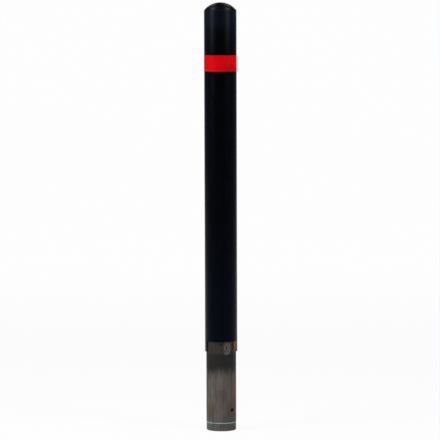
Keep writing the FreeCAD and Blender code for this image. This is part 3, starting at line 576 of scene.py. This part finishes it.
@dataclass
class Dresser:
    """Puts finishes on the frame's nodes, and makes each material once.

    Attributes:
        made: the materials that are made, by the names of their finishes.
    """

    made: dict[str, bpy.types.Material] = field(default_factory=dict)

    def dress(self, finish: Finish, *nodes: str) -> None:
        """Give nodes of the frame a finish.

        Args:
            finish: the finish.
            *nodes: names of the nodes.
        """
        if finish.name not in self.made:
            self.made[finish.name] = finish.material()
        for name in nodes:
            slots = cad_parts[name].data.materials
            slots.clear()
            slots.append(self.made[finish.name])
            LOG.info("%s: %s", name, finish.name)


@dataclass
class Mast:
    """The steel tube that stands in the ground, with its foot, its bush and the gas spring's cylinder.

    Attributes:
        steel: finish of the tube and its foot.
        ring: finish of the ring above the foot.
        bush: finish of the bush that the sleeve runs on.
        spring: finish of the gas spring's cylinder.
        fittings: finish of the plated fittings.
        gland: finish of the gland round the rod.
    """

    steel: Finish = MAST_STEEL
    ring: Finish = PALE_NYLON
    bush: Finish = NATURAL_NYLON
    spring: Finish = LACQUER
    fittings: Finish = ZINC
    gland: Finish = NICKEL_BRASS

    def dress(self, dresser: Dresser) -> None:
        """Dress every piece of the mast with the dresser."""
        dresser.dress(self.steel, "ground_tube", "foot_plug")
        dresser.dress(self.ring, "foot_ring")
        dresser.dress(self.bush, "slide_bush")
        dresser.dress(self.fittings, "spring_seat", "spring_seat_screws", "spring_nut")
        dresser.dress(self.fittings, "foot_screws", "slide_bush_screws")
        dresser.dress(self.spring, "gas_spring_cylinder")
        dresser.dress(self.gland, "rod_gland")


@dataclass
class Lock:
    """The key lock behind the notch: plate, housing, barrel, cam and bolt.

    Attributes:
        plate: finish of the plate and its screws.
        barrel: finish of the barrel.
        works: finish of the plated inner parts.
        screws: finish of the housing's screws.
    """

    plate: Finish = LOCK_PLATE_STEEL
    barrel: Finish = NICKEL_BRASS
    works: Finish = ZINC
    screws: Finish = BLACK_OXIDE

    def dress(self, dresser: Dresser) -> None:
        """Dress every piece of the lock with the dresser."""
        dresser.dress(self.plate, "lock_plate", "lock_plate_screws")
        dresser.dress(self.barrel, "lock_barrel")
        dresser.dress(self.works, "lock_housing", "lock_cam", "lock_bolt")
        dresser.dress(self.works, "bolt_guide", "bolt_guide_screws")
        dresser.dress(self.screws, "lock_housing_screws")


@dataclass
class Sleeve:
    """The black tube that slides, with its cap, its red band and what it carries inside.

    Attributes:
        coat: finish of the tube and its cap.
        band: finish of the reflective band.
        pad: finish of the guide pad in the notch.
        screws: finish of the screws through the coat.
        rubber: finish of the seals and the buffer.
        fittings: finish of the plated inner parts.
        rod: finish of the gas spring's rod.
        liner: finish of the band that runs on the mast.
    """

    coat: Finish = POWDER_COAT
    band: Finish = RED_FILM
    pad: Finish = BRONZE
    screws: Finish = BLACK_OXIDE
    rubber: Finish = RUBBER
    fittings: Finish = ZINC
    rod: Finish = HARD_CHROME
    liner: Finish = NATURAL_NYLON

    def dress(self, dresser: Dresser) -> None:
        """Dress every piece of the sleeve with the dresser."""
        dresser.dress(self.coat, "sleeve_tube", "dome_cap")
        dresser.dress(self.band, "reflective_band")
        dresser.dress(self.pad, "notch_guide_pad")
        dresser.dress(self.screws, "cap_screws", "crosshead_screws", "guide_key_screws")
        dresser.dress(self.rubber, "cap_sealing_ring", "buffer_ring", "piston_ring")
        dresser.dress(self.fittings, "crosshead", "rod_nuts", "guide_key", "gas_spring_piston")
        dresser.dress(self.rod, "gas_spring_rod")
        dresser.dress(self.liner, "wear_band")


# ---------------------------------------------------------------------------------------------------------
# Studio
# ---------------------------------------------------------------------------------------------------------


@dataclass(frozen=True)
class Softbox:
    """A soft lamp that faces a height on the post.

    Attributes:
        name: what the lamp is for.
        azimuth: direction from the post in degrees, 0 at its front and positive to its right.
        distance: distance from the post's axis in metres.
        lift: height of its middle in metres.
        aim: height on the post that it faces, in metres.
        width: width in metres.
        height: height in metres.
        power: power in watts.
    """

    name: str
    azimuth: float
    distance: float
    lift: float
    aim: float
    width: float
    height: float
    power: float

    def light(self) -> None:
        """Add the lamp to the scene."""
        data = bpy.data.lights.new(self.name, "AREA")
        data.shape = "RECTANGLE"
        data.size = self.width
        data.size_y = self.height
        data.energy = self.power
        turn = math.radians(self.azimuth)
        place = Vector((self.distance * math.sin(turn), -self.distance * math.cos(turn), self.lift))
        lamp = bpy.data.objects.new(self.name, data)
        lamp.location = place
        lamp.rotation_euler = (Vector((0.0, 0.0, self.aim)) - place).to_track_quat("-Z", "Y").to_euler()
        bpy.context.scene.collection.objects.link(lamp)
        LOG.info("%s: lamp", self.name)

    def mirrored(self) -> "Softbox":
        """The same lamp on the left of the post."""
        return replace(self, name=self.name.replace("right", "left"), azimuth=-self.azimuth)


LEFT_SOFTBOX = Softbox(
    "left_softbox", azimuth=-62.0, distance=2.5, lift=2.45, aim=1.2, width=0.9, height=2.1, power=75.0
)
RIGHT_SOFTBOX = Softbox(
    "right_softbox", azimuth=54.0, distance=2.5, lift=2.45, aim=1.2, width=0.7, height=2.1, power=56.0
)
HIGH_SOFTBOX = Softbox(
    "right_high_softbox", azimuth=113.0, distance=1.0, lift=3.06, aim=1.33, width=0.5, height=0.5, power=4.5
)
BACK_SOFTBOX = Softbox(
    "right_back_softbox", azimuth=163.0, distance=1.64, lift=2.48, aim=1.33, width=0.4, height=0.5, power=1.1
)


@dataclass
class Studio:
    """A pale paper floor that curves up far from the post, soft lamps and the camera.

    Attributes:
        reach: radius of the round paper in metres.
        segments: number of its segments.
        bend: radius of the curve between floor and backdrop.
        bend_steps: number of steps in that curve.
        top: height of the backdrop.
        paper_colour: colour of the paper.
        fibre_colour: colour of its fibres.
        white: colour that camera, gloss and glass see in the paper.
        side_white: that colour at the sides.
        near_glow: share of that colour under the post.
        far_glow: that share far behind the post, where no lamp reaches.
        side_glow: that share far to the left and right of the post.
        front_glow: that share far in front of the post, where the studio is dark.
        middle: the strip of paper that isn't at the sides.
        back: the paper that isn't in front.
        far: the paper far behind.
        dark: brightness of the room in front of the post, behind it and overhead.
        room: brightness of the room at its sides.
        room_colour: colour of the room's light.
        side_turn: sideways parts of a look at which the pale sides of the room start and are full.
        ceiling_turn: upward parts of a look at which the dark ceiling starts and is full.
        ceiling: share of the light that is left there.
        lamps: the lamps.
        distance: distance of the camera in front of the post.
        eye: height of the camera.
        aim: height that the camera looks at.
        side: sideways place of the camera.
        roll: roll of the camera in degrees.
        lens: focal length in millimetres.
        sensor: width of the sensor in millimetres.
        sight: distance to which the camera sees.
    """

    reach: float = 15.0
    segments: int = 96
    bend: float = 1.0
    bend_steps: int = 8
    top: float = 2.6
    paper_colour: str = "#f3f3f3"
    fibre_colour: str = "#fbfbfb"
    white: str = "#ffffff"
    side_white: str = "#a9c4ea"
    near_glow: float = 0.94
    far_glow: float = 0.985
    side_glow: float = 0.3
    front_glow: float = 0.02
    middle: tuple[Fade, Fade] = (Fade(Axis.X, -6000.0, -2500.0), Fade(Axis.X, 6000.0, 2500.0))
    back: Fade = Fade(Axis.Y, -2000.0, -600.0)
    far: Fade = Fade(Axis.Y, 500.0, 5000.0)
    dark: float = 0.03
    room: float = 0.3
    room_colour: str = "#c3d6ee"
    side_turn: tuple[float, float] = (0.3, 0.8)
    ceiling_turn: tuple[float, float] = (0.35, 0.8)
    ceiling: float = 0.1
    lamps: tuple[Softbox, ...] = (
        LEFT_SOFTBOX,
        RIGHT_SOFTBOX,
        HIGH_SOFTBOX,
        HIGH_SOFTBOX.mirrored(),
        BACK_SOFTBOX,
        BACK_SOFTBOX.mirrored(),
    )
    distance: float = 9.0
    eye: float = 1.45
    aim: float = 0.6634
    side: float = -0.0025
    roll: float = -0.17
    lens: float = 235.4
    sensor: float = 36.0
    sight: float = 60.0

    def build(self) -> None:
        """Build the paper, the room, the lamps and the camera."""
        self.build_paper()
        self.build_room()
        for lamp in self.lamps:
            lamp.light()
        self.build_camera()

    def build_paper(self) -> None:
        """Make the floor and the far backdrop as one round sheet that bends up at its rim."""
        flat = self.reach - self.bend
        turns = [math.pi / 2 * step / self.bend_steps for step in range(self.bend_steps + 1)]
        rings = [(flat + self.bend * math.sin(turn), self.bend * (1 - math.cos(turn))) for turn in turns]
        rings.append((self.reach, self.top))
        count = self.segments
        round_turns = [math.tau * place / count for place in range(count)]
        corners = [(0.0, 0.0, 0.0)]
        for radius, up in rings:
            corners += [(radius * math.cos(turn), radius * math.sin(turn), up) for turn in round_turns]
        faces = [(0, 1 + place, 1 + (place + 1) % count) for place in range(count)]
        for ring in range(len(rings) - 1):
            for place in range(count):
                inner = 1 + ring * count
                after = (place + 1) % count
                faces.append((inner + place, inner + count + place, inner + count + after, inner + after))
        mesh = bpy.data.meshes.new("paper_sweep")
        mesh.from_pydata(corners, [], faces)
        mesh.shade_smooth()
        mesh.materials.append(self.paper())
        sweep = bpy.data.objects.new("paper_sweep", mesh)
        bpy.context.scene.collection.objects.link(sweep)
        LOG.info("paper_sweep: floor and backdrop")

    def paper(self) -> bpy.types.Material:
        """White background paper that keeps the object's shadow and shows white in gloss and glass."""
        made = bpy.data.materials.new("white_background_paper")
        made.use_nodes = True
        tree = made.node_tree
        tree.nodes.clear()
        colour = Layer(self.fibre_colour, Grain(35.0, 35.0), 0.3, 0.7).over(tree, linear(self.paper_colour))
        matt = add(tree, "ShaderNodeBsdfDiffuse", {"Color": colour})
        left, right = self.middle
        tint = Layer(self.white, left, within=(right,)).over(tree, linear(self.side_white))
        white = add(tree, "ShaderNodeEmission", {"Color": tint, "Strength": 1.0})
        glow = self.front_glow
        for level, limits in (
            (self.side_glow, (self.back,)),
            (self.near_glow, (self.back, left, right)),
            (self.far_glow, (self.far, left, right)),
        ):
            mask = limits[0].socket(tree)
            for limit in limits[1:]:
                mask = add(tree, "ShaderNodeMath", {0: mask, 1: limit.socket(tree)}, operation="MULTIPLY")
            glow = add(tree, "ShaderNodeMix", {0: mask, 2: glow, 3: level})
        glow = add(tree, "ShaderNodeMath", {0: self.seen(tree), 1: glow}, operation="MULTIPLY")
        surface = add(tree, "ShaderNodeMixShader", {0: glow, 1: matt, 2: white})
        add(tree, "ShaderNodeOutputMaterial", {"Surface": surface})
        return made

    @staticmethod
    def seen(tree: Tree) -> Socket:
        """Tell the rays of the camera, gloss and glass from the rest.

        Args:
            tree: the node tree.

        Returns:
            1 for those rays, 0 for the light that falls on surfaces.
        """
        camera = add(tree, "ShaderNodeLightPath", output="Is Camera Ray")
        glossy = add(tree, "ShaderNodeLightPath", output="Is Glossy Ray")
        through = add(tree, "ShaderNodeLightPath", output="Is Transmission Ray")
        either = add(tree, "ShaderNodeMath", {0: camera, 1: glossy}, operation="MAXIMUM")
        return add(tree, "ShaderNodeMath", {0: either, 1: through}, operation="MAXIMUM")

    def build_room(self) -> None:
        """A room that is pale at its sides and dark in front, behind and overhead."""
        world = bpy.data.worlds.new("studio_room")
        bpy.context.scene.world = world
        world.use_nodes = True
        tree = world.node_tree
        tree.nodes.clear()
        look = add(tree, "ShaderNodeTexCoord", output="Generated")
        sideways = add(tree, "ShaderNodeSeparateXYZ", {0: look}, "X")
        across = add(tree, "ShaderNodeMath", {0: sideways}, operation="ABSOLUTE")
        start, full = self.side_turn
        light = {"To Min": self.dark, "To Max": self.room}
        inputs = {"Value": across, "From Min": start, "From Max": full, **light}
        sides = add(tree, "ShaderNodeMapRange", inputs, interpolation_type="SMOOTHSTEP")
        up = add(tree, "ShaderNodeSeparateXYZ", {0: look}, "Z")
        start, full = self.ceiling_turn
        inputs = {"Value": up, "From Min": start, "From Max": full, "To Min": 1.0, "To Max": self.ceiling}
        overhead = add(tree, "ShaderNodeMapRange", inputs, interpolation_type="SMOOTHSTEP")
        strength = add(tree, "ShaderNodeMath", {0: sides, 1: overhead}, operation="MULTIPLY")
        walls = add(tree, "ShaderNodeBackground", {"Color": linear(self.room_colour), "Strength": strength})
        add(tree, "ShaderNodeOutputWorld", {"Surface": walls})

    def build_camera(self) -> None:
        """Stand the camera in front of the post, a little above its middle, looking slightly down."""
        data = bpy.data.cameras.new("front_camera")
        data.lens = self.lens
        data.sensor_width = self.sensor
        data.clip_end = self.sight
        camera = bpy.data.objects.new("front_camera", data)
        place = Vector((self.side, -self.distance, self.eye))
        camera.location = place
        look = Vector((self.side, 0.0, self.aim)) - place
        camera.rotation_euler = look.to_track_quat("-Z", "Y").to_euler()
        camera.rotation_euler.rotate_axis("Z", math.radians(self.roll))
        bpy.context.scene.collection.objects.link(camera)
        bpy.context.scene.camera = camera
        bpy.context.scene.view_settings.view_transform = "Standard"
        LOG.info("front_camera: camera")


def main() -> None:
    """Dress the post, then build the studio round it."""
    logging.basicConfig(level=logging.INFO)
    dresser = Dresser()
    for part in (Mast(), Lock(), Sleeve()):
        part.dress(dresser)
    Studio().build()


if __name__ == "__main__":
    main()
